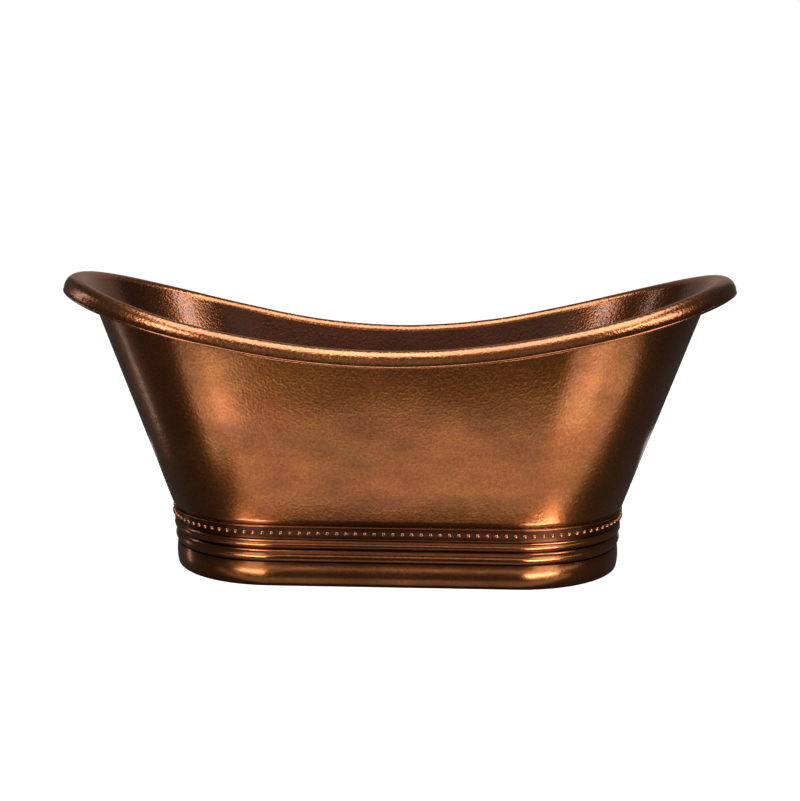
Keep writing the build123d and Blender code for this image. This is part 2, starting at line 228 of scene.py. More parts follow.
def strip_of(first, second, closed):
    """Faces between two rows of vertices."""
    a, b = np.asarray(first), np.asarray(second)
    following_a, following_b = np.roll(a, -1), np.roll(b, -1)
    faces = np.stack([a, following_a, following_b, b], -1)
    return faces if closed else faces[:-1]


def mesh_piece(name, points, faces, normals, heights=None):
    """A mesh object with quads and one normal for each corner of each face."""
    mesh = bpy.data.meshes.new(name)
    mesh.vertices.add(len(points))
    mesh.vertices.foreach_set("co", points.astype(np.float32).ravel())
    mesh.loops.add(faces.size)
    mesh.loops.foreach_set("vertex_index", faces.astype(np.int32).ravel())
    mesh.polygons.add(len(faces))
    mesh.polygons.foreach_set("loop_start", np.arange(0, faces.size, 4, dtype=np.int32))
    mesh.update(calc_edges=True)
    mesh.shade_smooth()
    if normals is None:
        mesh.set_sharp_from_angle(angle=math.radians(38))
    else:
        mesh.normals_split_custom_set(normals.reshape(-1, 3))
    if heights is not None:
        ridge = mesh.attributes.new("ridge", "FLOAT", "POINT")
        ridge.data.foreach_set("value", heights.astype(np.float32))
    piece = bpy.data.objects.new(name, mesh)
    bpy.context.scene.collection.objects.link(piece)
    return piece


def sheet_piece(name, face, back, closed):
    """A closed sheet between two grids that share their columns.

    Each grid is (points, normals, heights). The face looks along the right-hand normals
    of its grid, and the back the other way.
    """
    (front_points, front_normals, front_heights), (back_points, back_normals, back_heights) = face, back
    rows, columns = front_points.shape[:2]
    back_rows = back_points.shape[0]
    start = rows * columns
    points = np.concatenate([front_points.reshape(-1, 3), back_points.reshape(-1, 3)])
    smooth = np.concatenate([front_normals.reshape(-1, 3), -back_normals.reshape(-1, 3)])
    faces = [quads_of(rows, columns, 0, closed), quads_of(back_rows, columns, start, closed)[:, ::-1]]
    normals = [smooth[f] for f in faces]

    front_ids = np.arange(start).reshape(rows, columns)
    back_ids = start + np.arange(back_rows * columns).reshape(back_rows, columns)
    edges = [
        strip_of(back_ids[0], front_ids[0], closed),
        strip_of(front_ids[-1], back_ids[-1], closed),
    ]
    if not closed:
        edges.append(strip_of(front_ids[:, 0], back_ids[:, 0], False))
        edges.append(strip_of(back_ids[:, -1], front_ids[:, -1], False))
    for f in edges:
        flat = np.cross(points[f[:, 2]] - points[f[:, 0]], points[f[:, 3]] - points[f[:, 1]])
        flat /= np.linalg.norm(flat, axis=-1, keepdims=True) + 1e-12
        faces.append(f)
        normals.append(np.repeat(flat[:, None], 4, axis=1))
    heights = np.concatenate([front_heights.ravel(), back_heights.ravel()])
    piece = mesh_piece(name, points, np.concatenate(faces), np.concatenate(normals), heights)
    side = np.zeros(sum(map(len, faces)), dtype=np.int32)
    side[len(faces[0]) : len(faces[0]) + len(faces[1])] = 1
    piece.data.polygons.foreach_set("material_index", side)
    return piece


# ---------------------------------------------------------------- tub walls
def marks_around(pitch):
    """Number of marks in a lap, from the wall's mean height."""
    mean_z = 0.45
    return round(slot_lap(wall_straight(mean_z), wall_radius(mean_z)) / pitch)


def swell(points):
    return unevenness(points, swell_size, 5) * swell_depth


def panel_columns(low, high, count):
    """Places of a panel's columns from low to high, with one more beyond each end for the normals."""
    step = 1 / (count - 1)
    return low + (high - low) * np.linspace(-step, 1 + step, count + 2)


def wall_points(column_share, rows, inset):
    """Grid of wall points: column_share(z) gives each column's share of the lap at height z."""
    top = np.full(column_share(foot_z).shape, crest_middle_z)
    for _ in range(settling_rounds):
        top = crest_of(column_share(top)) - shoulder_radius
    step = 1 / (rows - 1)
    rise = np.linspace(-step, 1 + step, rows + 2)[:, None]
    z = neck_low_z + (top - neck_low_z) * rise
    share = np.stack([column_share(level) for level in z])
    straight, radius = wall_straight(z), wall_radius(z)
    lap = slot_lap(straight, radius)
    x, y, n_x, n_y = slot_point(share * lap, straight, radius)
    if inset:
        x, y = x - inset * n_x, y - inset * n_y
    points = np.stack([x, y, z], -1)
    return points, share, z - top, lap


def wall_face(column_share, rows, inset, pitch, depth, seed):
    """One side of a wall panel, with its hammer marks."""
    points, share, below_joint, lap = wall_points(column_share, rows, inset)
    around = marks_around(pitch)
    height = marks(share * around, below_joint / pitch + row_offset, lap / around, pitch, around, seed)
    outward = 1 if inset == 0 else -1
    moved, normals = dented(points, outward * (height - 0.5) * depth + swell(points))
    return moved, normals, height[1:-1, 1:-1]


def wall_piece(name, column_share, node):
    outside = wall_face(column_share, wall_rows, 0.0, outer_pitch, outer_depth, 11)
    inside = wall_face(column_share, wall_rows, sheet, inner_pitch, inner_depth, 12)
    piece = sheet_piece(name, outside, inside, closed=False)
    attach(piece, "tub")
    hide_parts(node)
    return piece


def side_share(x, back):
    """Shares of the lap of the columns at places x along the front or back side."""

    def share(z):
        lap = slot_lap(wall_straight(z), wall_radius(z))
        return 0.5 - x / lap if back else x / lap

    return share


def end_share(places, left):
    """Shares of the lap of an end panel's columns, evenly spaced from seam to seam."""

    def share(z):
        seam = seam_x / slot_lap(wall_straight(z), wall_radius(z))
        return seam + (0.5 - 2 * seam) * places + (0.5 if left else 0)

    return share


def build_walls():
    side_places = panel_columns(-seam_x, seam_x, round(2 * seam_x / wall_step))
    end_places = panel_columns(0, 1, end_columns)
    return [
        wall_piece("tub_wall_front", side_share(side_places, False), "wall_front"),
        wall_piece("tub_wall_back", side_share(-side_places, True), "wall_back"),
        wall_piece("tub_wall_right", end_share(end_places, False), "wall_right"),
        wall_piece("tub_wall_left", end_share(end_places, True), "wall_left"),
    ]


# ---------------------------------------------------------------- rolled rim
def ring_shares(count):
    """Shares of the lap for a closed ring of count columns, with one more beyond each end."""
    return np.arange(-1, count + 1) / count


def rim_frame(share):
    """Crest place, outward direction and wall slope at each share of the lap."""
    z = crest_of(share)
    straight, radius = wall_straight(z), wall_radius(z)
    x, y, n_x, n_y = slot_point(share * slot_lap(straight, radius), straight, radius)
    return x, y, z, n_x, n_y, side_slope + spread_slope * np.abs(n_x)


def rim_section(travel, thickness, slope):
    """Outward and upward offsets at a distance along the rim's section, from its joint."""
    quarter = shoulder_radius * np.pi / 2
    rise = np.minimum(travel / quarter, 1) * np.pi / 2
    turn = np.maximum(travel - quarter, 0) / roll_radius
    radius = shoulder_radius - thickness
    lean = shoulder_radius * slope * (1 - np.sin(rise))
    on_shoulder = travel < quarter
    centre = shoulder_radius - sheet
    n = np.where(
        on_shoulder,
        centre - radius * np.cos(rise) - lean,
        centre + (roll_radius - thickness) * np.sin(turn),
    )
    up = np.where(
        on_shoulder,
        radius * np.sin(rise) - shoulder_radius,
        (roll_radius - thickness) * np.cos(turn) - roll_radius,
    )
    return n, up


def rim_face(columns, rows, thickness, depth, seed):
    """Top or under side of the rim as a grid from the joint to the rolled edge."""
    length = shoulder_radius * np.pi / 2 + roll_radius * roll_angle
    step = length / (rows - 1)
    travel = np.linspace(-step, length + step, rows + 2)[:, None]
    share = ring_shares(columns)[None, :]
    x, y, z, n_x, n_y, slope = rim_frame(share)
    n, up = rim_section(travel, thickness, slope)
    points = np.stack([x + n * n_x, y + n * n_y, z + up], -1)
    lap = slot_lap(wall_straight(z), wall_radius(z)) + 0 * travel
    around = marks_around(inner_pitch)
    across, along = share * around + 0 * travel, travel / inner_pitch + row_offset + 0 * share
    height = marks(across, along, lap / around, inner_pitch, around, seed)
    moved, normals = dented(points, -(height - 0.5) * depth + swell(points))
    return moved, normals, height[1:-1, 1:-1]


def build_rim():
    columns = round(rim_lap / wall_step)
    top = rim_face(columns, 40, 0.0, rim_depth, 12)
    under = rim_face(columns, 14, sheet, 0.0, 12)
    # the section runs outwards, so its right-hand normals look down and the top is the sheet's back
    piece = sheet_piece("hammered_rim", under, top, closed=True)
    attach(piece, "tub")
    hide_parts("rolled_rim")
    return piece


def build_rim_wire():
    """Wire let into the rolled edge, as a fine tube round the rim."""
    columns, sides = 900, 16
    share = ring_shares(columns)[1:-1][None, :]
    x, y, z, n_x, n_y, _ = rim_frame(share)
    turn = (np.arange(sides) / sides * 2 * np.pi)[:, None]
    n = rim_wire_n + rim_wire_radius * np.cos(turn)
    up = rim_wire_z + rim_wire_radius * np.sin(turn)
    points = np.stack([x + n * n_x, y + n * n_y, z + up + 0 * share], -1)
    # heights of 1 give the whole wire the rim copper's lighter ridge tone: rubbed wear and a painted
    # highlight
    piece = tube_piece("rim_bead_wire", points, 1 + 0 * points[..., 0])
    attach(piece, "tub")
    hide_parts("rim_wire")
    return piece


def tube_piece(name, points, heights):
    """A grid closed both ways, as a ring of any section."""
    rows, columns = points.shape[:2]
    ids = np.arange(rows * columns).reshape(rows, columns)
    faces = [strip_of(ids[k], ids[(k + 1) % rows], True) for k in range(rows)]
    return mesh_piece(name, points.reshape(-1, 3), np.concatenate(faces), None, heights.ravel())


# ---------------------------------------------------------------- floor pan
def pan_section(travel, inset):
    """Straight half, radius and height of the pan's nested slots, from the drain outwards."""
    flat = neck_radius - sheet - pan_corner_radius - drain_hole_radius
    arc = pan_corner_radius * np.pi / 2
    share = np.clip(travel / flat, 0, 1)
    past_the_arc = 1.1
    turn = np.clip(travel - flat, 0, arc * past_the_arc) / pan_corner_radius
    radius = drain_hole_radius + np.minimum(travel, flat) + (pan_corner_radius + inset) * np.sin(turn)
    z = pan_floor_z - inset + (pan_corner_radius + inset) * (1 - np.cos(turn))
    return plinth_straight * share, radius, z, flat + arc


def pan_face(columns, rows, inset, depth, seed):
    end = pan_section(np.zeros(1), inset)[3]
    step = end / (rows - 1)
    travel = np.linspace(-step, end + step, rows + 2)[:, None]
    straight, radius, z, _ = pan_section(travel, inset)
    radius = radius + np.minimum(travel, 0)
    share = ring_shares(columns)[None, :]
    x, y, n_x, n_y = slot_point(share * slot_lap(straight, radius), straight, radius)
    z = z + 0 * share
    points = np.stack([x, y, z], -1)
    height = plan_marks(x, y, seed)
    moved, normals = dented(points, -(height - 0.5) * depth + swell(points))
    return moved, normals, height[1:-1, 1:-1]


def plan_marks(x, y, seed):
    """Hammer marks laid out flat over the plan, for the pan."""
    span = 150
    u, v = x / inner_pitch + span / 2, y / inner_pitch + span / 2
    return marks(u, v, inner_pitch, inner_pitch, span, seed)


def build_pan():
    columns = 1000
    inside = pan_face(columns, 110, 0.0, inner_depth, 21)
    outside = pan_face(columns, 26, sheet, 0.0, 21)
    piece = sheet_piece("tub_floor", outside, inside, closed=True)
    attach(piece, "tub")
    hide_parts("floor_pan")
    return piece


# ---------------------------------------------------------------- plinth mouldings
def arc_points(start, middle, end, count):
    """Points on the circle through three (radius, z) places."""
    (ax, ay), (bx, by), (cx, cy) = start, middle, end
    d = 2 * (ax * (by - cy) + bx * (cy - ay) + cx * (ay - by))
    a2, b2, c2 = ax**2 + ay**2, bx**2 + by**2, cx**2 + cy**2
    ox = (a2 * (by - cy) + b2 * (cy - ay) + c2 * (ay - by)) / d
    oy = (a2 * (cx - bx) + b2 * (ax - cx) + c2 * (bx - ax)) / d
    angles = np.unwrap([math.atan2(y - oy, x - ox) for x, y in (start, middle, end)])
    turn = np.linspace(angles[0], angles[2], count)
    r = math.hypot(ax - ox, ay - oy)
    return [(ox + r * math.cos(t), oy + r * math.sin(t)) for t in turn]


def ring_piece(name, outline, node, crown_low, wobble=plinth_swell_depth):
    """Carries a closed (radius, z) outline round the plinth's slot, with a little wobble.

    Points within crown_low of the slot's centre line count as hollows and take the darker tone, painted
    shade in the grooves between the mouldings; the outermost points take the lighter tone, a painted
    highlight on the crowns.
    """
    outline = np.array(outline)
    radius, z = outline[:, 0][:, None], outline[:, 1][:, None]
    columns = 1100
    share = (np.arange(columns) / columns)[None, :]
    lap = slot_lap(plinth_straight, strip_radius)
    middle = slot_point(share * lap, plinth_straight, strip_radius)
    x = middle[0] + (radius - strip_radius) * middle[2]
    y = middle[1] + (radius - strip_radius) * middle[3]
    points = np.stack([x, y, z + 0 * share], -1)
    outward = np.stack([middle[2] + 0 * z, middle[3] + 0 * z, 0 * x], -1)
    points = points + outward * (unevenness(points, plinth_swell_size, 31) * wobble)[..., None]
    # outermost points lighter and grooves darker: painted highlight on the crowns, painted shade in the
    # grooves
    crown = (radius - crown_low) / (radius.max() - crown_low)
    piece = tube_piece(name, points, np.clip(crown, 0, 1) + 0 * share)
    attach(piece, "tub")
    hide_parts(node)
    return piece


def torus_outline(node, high_radius, crown_radius):
    """Bent half-round sheet of one moulding, as a closed outline."""
    low_z, high_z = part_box(node)[0].z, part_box(node)[1].z
    middle = (low_z + high_z) / 2
    low, high = (torus_foot_radius, low_z), (high_radius, high_z)
    outer = arc_points(low, (crown_radius, middle), high, 40)
    low_in, high_in = (low[0], low_z + moulding_sheet), (high_radius, high_z - moulding_sheet)
    inner = arc_points(high_in, (crown_radius - moulding_sheet, middle), low_in, 20)
    return outer + inner


def foot_outline():
    """The foot band, from its turned-in flange up the outside to its lip and back down the inside."""
    top_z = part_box("plinth_foot")[1].z
    toe, heel, crown, top = (0.2705, 0.0), (0.2756, 0.0055), (0.2780, 0.030), (0.2752, top_z)
    lip = (torus_foot_radius, top_z)
    inner_top = (top[0] - sheet, top_z - sheet)
    outer = arc_points(toe, (0.2741, 0.0016), heel, 9)[:-1] + arc_points(heel, crown, top, 30)
    inner = arc_points(inner_top, (crown[0] - sheet, crown[1]), (heel[0] - sheet, heel[1]), 16)
    turned_in = arc_points(inner[-1], (0.2729, 0.0032), (toe[0], sheet), 5)[1:]
    lip_inside = (lip[0], top_z - sheet)
    flange_low, flange_high = (flange_inner_radius, 0.0), (flange_inner_radius, sheet)
    return [flange_low] + outer + [lip, lip_inside] + inner + turned_in + [flange_high]


def rounded_strip():
    """The flat strip behind the beads, with its two outer edges eased."""
    low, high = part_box("bead_strip")[0].z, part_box("bead_strip")[1].z
    ease = 0.0006
    sag = 0.29 * ease  # how far the middle of a quarter round lies inside its corner
    face, inner = strip_radius, strip_radius - moulding_sheet
    lower = arc_points((face - ease, low), (face - sag, low + sag), (face, low + ease), 4)
    upper = arc_points((face, high - ease), (face - sag, high - sag), (face - ease, high), 4)
    return [(inner, low)] + lower + upper + [(inner, high)]


def wire_outline():
    low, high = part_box("band_wire")[0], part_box("band_wire")[1]
    middle_z = (low.z + high.z) / 2
    middle_r = high.y - band_wire_radius
    return [
        (middle_r + band_wire_radius * math.cos(t), middle_z + band_wire_radius * math.sin(t))
        for t in np.arange(18) / 18 * 2 * np.pi
    ]


def build_beads():
    """Row of half-round beads along the strip, each a smooth dome with a closed flat back."""
    rng = np.random.default_rng(41)
    rings, sides = 8, 20
    lap = slot_lap(plinth_straight, strip_radius)
    tilt = (np.arange(rings) / rings * np.pi / 2)[:, None]
    spin = (np.arange(sides) / sides * 2 * np.pi)[None, :]
    points, faces = [], []
    for k in range(bead_count):
        place = (k + 0.5) * lap / bead_count - plinth_straight
        x, y, n_x, n_y = (float(v) for v in slot_point(np.array(place), plinth_straight, strip_radius))
        size = bead_radius * rng.uniform(0.965, 1.0)
        out = size * np.sin(tilt) + 0 * spin
        across = size * np.cos(tilt) * np.cos(spin)
        up = size * np.cos(tilt) * np.sin(spin)
        dome = np.stack([x + out * n_x - across * n_y, y + out * n_y + across * n_x, bead_z + up], -1)
        start = len(points)
        points.extend(dome.reshape(-1, 3))
        points.append((x + size * n_x, y + size * n_y, bead_z))
        points.append((x, y, bead_z))
        tip, back = start + rings * sides, start + rings * sides + 1
        ids = start + np.arange(rings * sides).reshape(rings, sides)
        for low, high in zip(ids[:-1], ids[1:]):
            faces.extend(strip_of(low, high, True)[:, ::-1].tolist())
        for a, b in zip(ids[-1], np.roll(ids[-1], -1)):
            faces.append([int(b), int(a), tip])
        for a, b in zip(ids[0], np.roll(ids[0], -1)):
            faces.append([int(a), int(b), back])
    mesh = bpy.data.meshes.new("plinth_beads")
    mesh.from_pydata([tuple(p) for p in points], [], faces)
    mesh.shade_smooth()
    mesh.set_sharp_from_angle(angle=math.radians(50))
    piece = bpy.data.objects.new("plinth_beads", mesh)
    bpy.context.scene.collection.objects.link(piece)
    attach(piece, "tub")
    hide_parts("bead_row")
    return piece


def build_plinth():
    lower = torus_outline("lower_torus", torus_foot_radius, lower_crown_radius)
    upper = torus_outline("upper_torus", upper_edge_radius, upper_crown_radius)
    return [
        ring_piece("foot_band", foot_outline(), "plinth_foot", 0.2740),
        ring_piece("lower_moulding", lower, "lower_torus", 0.2740),
        ring_piece("upper_moulding", upper, "upper_torus", 0.2760),
        ring_piece("neck_wire", wire_outline(), "band_wire", 0.2830, 0.0),
    ]


# ---------------------------------------------------------------- materials
class Nodes:
    """A material's node tree with short ways to add and join nodes."""

    def __init__(self, name):
        self.material = bpy.data.materials.new(name)
        self.material.use_nodes = True
        self.tree = self.material.node_tree
        self.shader = self.tree.nodes["Principled BSDF"]
        self.place = self.add("ShaderNodeTexCoord").outputs["Object"]

    def add(self, kind, **values):
        node = self.tree.nodes.new(kind)
        for key, value in values.items():
            setattr(node, key, value)
        return node

    def join(self, source, target):
        self.tree.links.new(source, target)

    def noise(self, scale, detail=3.0, rough=0.55, stretch=None):
        node = self.add("ShaderNodeTexNoise")
        node.inputs["Scale"].default_value = scale
        node.inputs["Detail"].default_value = detail
        node.inputs["Roughness"].default_value = rough
        place = self.place
        if stretch:
            mapping = self.add("ShaderNodeMapping")
            mapping.inputs["Scale"].default_value = stretch
            self.join(place, mapping.inputs["Vector"])
            place = mapping.outputs["Vector"]
        self.join(place, node.inputs["Vector"])
        return node.outputs["Fac"]

    def ramp(self, source, stops):
        node = self.add("ShaderNodeValToRGB")
        ramp = node.color_ramp
        while len(ramp.elements) < len(stops):
            ramp.elements.new(0.5)
        for element, (position, colour) in zip(ramp.elements, stops):
            element.position = position
            element.color = (*colour, 1)
        self.join(source, node.inputs["Fac"])
        return node.outputs["Color"]

    def two_tone(self, scale, dark, light, detail=3.0, rough=0.55):
        """Colours the material in patches of a noise, from dark to light."""
        patches = self.ramp(self.noise(scale, detail, rough), [(0.3, dark), (0.7, light)])
        self.join(patches, self.shader.inputs["Base Color"])

    def roughness(self, scale, low, high):
        self.join(self.spread(self.noise(scale), low, high), self.shader.inputs["Roughness"])

    def spread(self, source, low, high, start=0.3, end=0.7):
        """Maps a noise from start..end to low..high."""
        node = self.add("ShaderNodeMapRange")
        node.inputs["From Min"].default_value = start
        node.inputs["From Max"].default_value = end
        node.inputs["To Min"].default_value = low
        node.inputs["To Max"].default_value = high
        self.join(source, node.inputs["Value"])
        return node.outputs["Result"]

    def multiply(self, share, first, second):
        """Colour first times colour second, by a share from 0 for first alone to 1."""
        node = self.add("ShaderNodeMix", data_type="RGBA", blend_type="MULTIPLY")
        node.inputs["Factor"].default_value = share
        a, b = [s for s in node.inputs if s.type == "RGBA"]
        self.join(first, a)
        self.join(second, b)
        return [s for s in node.outputs if s.type == "RGBA"][0]

    def bump(self, source, strength, distance, under=None):
        node = self.add("ShaderNodeBump")
        if under:
            self.join(under.outputs["Normal"], node.inputs["Normal"])
        node.inputs["Strength"].default_value = strength
        node.inputs["Distance"].default_value = distance
        self.join(source, node.inputs["Height"])
        self.join(node.outputs["Normal"], self.shader.inputs["Normal"])
        return node

    def set(self, **values):
        for key, value in values.items():
            self.shader.inputs[key.replace("_", " ")].default_value = value


def copper(name, tones, rough_low, rough_high, coat, hammer, hollow=0.8, glow=1.06, smear=0.7):
    """Aged copper: brown patches and smears, a drift between olive and red, and a tone by the hammer
    marks' height: patina in the dents and rubbed ridges, made darker in the dents as painted shade and
    lighter on the ridges as a painted highlight.
    """
    m = Nodes(name)
    m.set(Metallic=1.0, Coat_Weight=coat, Coat_Roughness=0.15, Coat_IOR=1.5)
    ground = m.ramp(m.noise(3.4, 5.0, 0.6), list(zip((0.32, 0.52, 0.72), tones)))
    smears = m.noise(17.0, 5.0, 0.62, stretch=(0.4, 0.4, 1.0))
    veil = m.ramp(smears, [(0.34, (0.70, 0.64, 0.60)), (0.58, (1.0, 1.0, 1.0))])
    colour = m.multiply(smear, ground, veil)

    olive, red = (0.94, 1.0, 0.86), (1.0, 0.93, 1.0)
    drift = m.noise(7.0, 3.0, 0.5, stretch=(0.7, 0.7, 1.2))
    colour = m.multiply(1.0, colour, m.ramp(drift, [(0.38, olive), (0.62, red)]))
    specks = m.ramp(m.noise(130.0, 3.0, 0.6), [(0.36, (0.80, 0.76, 0.73)), (0.62, (1.0, 1.0, 1.0))])
    colour = m.multiply(0.8, colour, specks)
    # tone by the marks' height: dents darker, ridges lighter; partly patina and rubbed wear, partly
    # painted shade in the dents and a painted highlight on the ridges
    ridge = m.add("ShaderNodeAttribute", attribute_name="ridge").outputs["Fac"]
    wear_and_sheen = [(0.10, (hollow, hollow * 0.95, hollow * 0.92)), (0.95, (glow, glow, glow))]
    colour = m.multiply(1.0, colour, m.ramp(ridge, wear_and_sheen))
    m.join(colour, m.shader.inputs["Base Color"])
    m.join(m.spread(smears, rough_high, rough_low), m.shader.inputs["Roughness"])

    dents = m.add("ShaderNodeTexVoronoi", feature="SMOOTH_F1")
    dents.inputs["Scale"].default_value = 165.0
    dents.inputs["Smoothness"].default_value = 0.35
    m.join(m.place, dents.inputs["Vector"])
    planished = m.bump(dents.outputs["Distance"], 1.0, hammer)
    m.bump(m.noise(300.0, 3.0, 0.6), 0.3, 0.0002, under=planished)
    return m.material


def tub_copper():
    tones = ((0.33, 0.108, 0.028), (0.45, 0.150, 0.040), (0.56, 0.192, 0.055))
    return copper("tub_copper", tones, 0.24, 0.32, 0.5, 0.00016)


def inside_shaded_copper():
    """The inside, in tones darker than the outside's as painted shade within the basin, and redder
    under a thin shine.
    """
    tones = ((0.19, 0.058, 0.017), (0.25, 0.078, 0.023), (0.32, 0.102, 0.032))
    return copper("inside_shaded_copper", tones, 0.22, 0.30, 1.0, 0.00045, hollow=0.75)


def rim_copper():
    tones = ((0.34, 0.112, 0.034), (0.46, 0.160, 0.052), (0.58, 0.212, 0.074))
    return copper("rim_copper", tones, 0.22, 0.30, 0.6, 0.00040, hollow=0.72, glow=1.15, smear=0.6)


def plinth_copper():
    tones = ((0.36, 0.120, 0.034), (0.48, 0.166, 0.050), (0.60, 0.216, 0.070))
    # hollow of 0.45 darkens the grooves as painted shade, glow of 1.12 lightens the crowns as a painted
    # highlight
    return copper("plinth_copper", tones, 0.18, 0.27, 0.5, 0.00002, hollow=0.45, glow=1.12, smear=0.5)


def bead_highlight_copper():
    """Bead tops, in tones far lighter than the other copper: rubbed wear, brightened further as a
    painted highlight.
    """
    tones = ((0.72, 0.280, 0.110), (0.80, 0.330, 0.140), (0.88, 0.390, 0.180))
    return copper("bead_highlight_copper", tones, 0.13, 0.20, 0.6, 0.00002, hollow=1.0, glow=1.0, smear=0.3)


def recess_shade_copper():
    """Strip behind the beads, in tones far darker than the other copper: unrubbed brown patina,
    darkened further as painted shade in the recess behind the beads.
    """
    tones = ((0.060, 0.018, 0.005), (0.095, 0.031, 0.009), (0.14, 0.047, 0.014))
    return copper("recess_shade_copper", tones, 0.34, 0.46, 0.3, 0.00004, hollow=1.0, glow=1.0)


def black_steel():
    """Black powder coat with a fine orange-peel surface."""
    m = Nodes("black_steel")
    m.set(Metallic=0.0, Roughness=0.5)
    m.two_tone(60.0, (0.012, 0.012, 0.013), (0.028, 0.027, 0.026))
    m.bump(m.noise(900.0, 2.0), 0.3, 0.0002)
    return m.material


def zinc_steel():
    m = Nodes("zinc_steel")
    m.set(Metallic=1.0)
    m.two_tone(240.0, (0.42, 0.43, 0.44), (0.62, 0.62, 0.60))
    m.roughness(160.0, 0.28, 0.45)
    return m.material


def spring_steel():
    m = Nodes("spring_steel")
    m.set(Metallic=1.0)
    m.two_tone(500.0, (0.40, 0.39, 0.38), (0.58, 0.57, 0.55))
    m.roughness(300.0, 0.2, 0.32)
    return m.material


def rubber():
    m = Nodes("rubber")
    m.set(Metallic=0.0)
    m.two_tone(120.0, (0.014, 0.014, 0.014), (0.030, 0.029, 0.028))
    m.roughness(200.0, 0.68, 0.85)
    m.bump(m.noise(1400.0, 2.0), 0.4, 0.0002)
    return m.material


def white_plastic():
    m = Nodes("white_plastic")
    m.set(Metallic=0.0)
    m.two_tone(180.0, (0.70, 0.69, 0.66), (0.80, 0.79, 0.77))
    m.roughness(240.0, 0.38, 0.5)
    return m.material


def aged_brass():
    """Waste fitting finished to match the tub: oil-rubbed brass with lighter worn patches."""
    m = Nodes("aged_brass")
    m.set(Metallic=1.0, Coat_Weight=0.2, Coat_Roughness=0.3)
    m.two_tone(90.0, (0.20, 0.10, 0.045), (0.42, 0.22, 0.10), detail=4.0, rough=0.6)
    m.roughness(140.0, 0.26, 0.4)
    m.bump(m.noise(700.0, 3.0), 0.2, 0.0002)
    return m.material


def paint(piece, *materials):
    for material in materials:
        piece.data.materials.append(material)


def finish_frame_nodes():
    """Gives every CAD node that still shows the finish of its material slot."""
    finishes = {
        # CAD nodes carry no ridge heights, so they show the plinth copper's darkest hollow tone:
        # painted shade on the skirt behind the mouldings
        "copper_plinth": plinth_metal,
        "black_steel": black_steel(),
        "zinc_steel": zinc_steel(),
        "spring_steel": spring_steel(),
        "rubber": rubber(),
        "white_plastic": white_plastic(),
        "aged_brass": aged_brass(),
    }
    for name, node in frame["nodes"].items():
        if node.hide_render:
            continue
        slot_name = slot_of(name)
        for slot in node.material_slots:
            slot.material = finishes[slot_name]


def slot_of(name):
    """Material slot of a CAD node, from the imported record."""
    return next(part["material_slot"] for part in frame["record"]["subparts"] if part["node"] == name)


# ---------------------------------------------------------------- studio
def aim(thing, target):
    thing.rotation_euler = (Vector(target) - thing.location).to_track_quat("-Z", "Y").to_euler()


def softbox(name, place, target, width, height, radiance, colour=(1, 1, 1)):
    """A flat light of even brightness that the camera doesn't see itself."""
    data = bpy.data.lights.new(name, "AREA")
    data.shape = "RECTANGLE"
    data.size, data.size_y = width, height
    data.energy = radiance * math.pi * width * height
    data.color = colour
    light = bpy.data.objects.new(name, data)
    light.location = place
    light.visible_camera = False
    bpy.context.scene.collection.objects.link(light)
    aim(light, target)
    return light


def polar_box(name, azimuth, elevation, distance, width, height, radiance, colour=(1, 1, 1)):
    """A softbox facing the tub, azimuth degrees round from the front, to the right if positive."""
    centre = Vector((0, 0, 0.35))
    a, e = math.radians(azimuth), math.radians(elevation)
    away = Vector((math.sin(a) * math.cos(e), -math.cos(a) * math.cos(e), math.sin(e)))
    return softbox(name, centre + away * distance, centre, width, height, radiance, colour)


def floor_card(name, x, y, width, depth, radiance, turn=0.0):
    """A card lying on the floor, turned by some degrees, that only the bath's reflections see."""
    card = softbox(name, (x, y, 0.001), (x, y, 1), width, depth, radiance, (1.0, 0.95, 0.90))
    card.rotation_euler.rotate_axis("Z", -math.radians(turn))


def build_lights():
    warm = (1.0, 0.95, 0.90)
    floor_card("front_card", 0.20, -0.94, 1.60, 0.64, 0.95)
    floor_card("left_card", -1.02, -1.05, 0.80, 0.44, 1.30, 35.0)
    floor_card("right_card", 1.32, -0.88, 0.64, 0.84, 1.15)
    floor_card("right_low", 0.76, -0.535, 0.48, 0.165, 0.90)
    floor_card("near_card", 0.0, -0.305, 1.1, 0.035, 0.30)
    floor_card("left_base", -0.42, -0.43, 0.17, 0.10, 7.0)
    floor_card("right_base", 0.465, -0.43, 0.21, 0.10, 8.0)
    floor_card("back_card", 0.0, 1.25, 2.4, 0.95, 0.8)
    softbox("left_panel", (-0.62, -0.95, 0.18), (-0.36, -0.28, 0.1), 0.32, 0.34, 1.6, warm)
    softbox("right_panel", (0.80, -0.90, 0.18), (0.38, -0.27, 0.1), 0.42, 0.34, 1.6, warm)
    softbox("left_box", (-1.05, -1.02, 1.6), (-0.2, 0.0, 0.6), 0.42, 0.6, 5.0, warm)
    softbox("left_high", (-1.05, -1.60, 2.15), (-0.5, -0.2, 0.7), 0.6, 0.5, 8.0, warm)
    softbox("right_high", (1.32, -1.36, 2.15), (0.5, -0.2, 0.7), 0.6, 0.5, 7.0, warm)
    softbox("right_box", (1.49, -0.81, 1.71), (-0.2, 0.1, 0.6), 0.5, 0.8, 6.0, warm)
    softbox("top_box", (0.12, -0.08, 2.4), (0.12, -0.08, 0), 2.1, 1.5, 4.2)
    softbox("back_fill", (0.0, 2.6, 1.5), (0, 0, 0.9), 4.4, 1.8, 0.22, (1.0, 0.78, 0.62))
    polar_box("front_fill", 0, 30, 3.6, 2.6, 2.2, 0.22, warm)
    softbox("left_strip", (-2.4, 0.45, 1.5), (-0.5, 0.0, 0.9), 0.10, 1.3, 6.0)
    softbox("left_strip_low", (-2.4, 0.55, -0.25), (-0.7, 0.0, 0.5), 0.08, 0.55, 2.6)


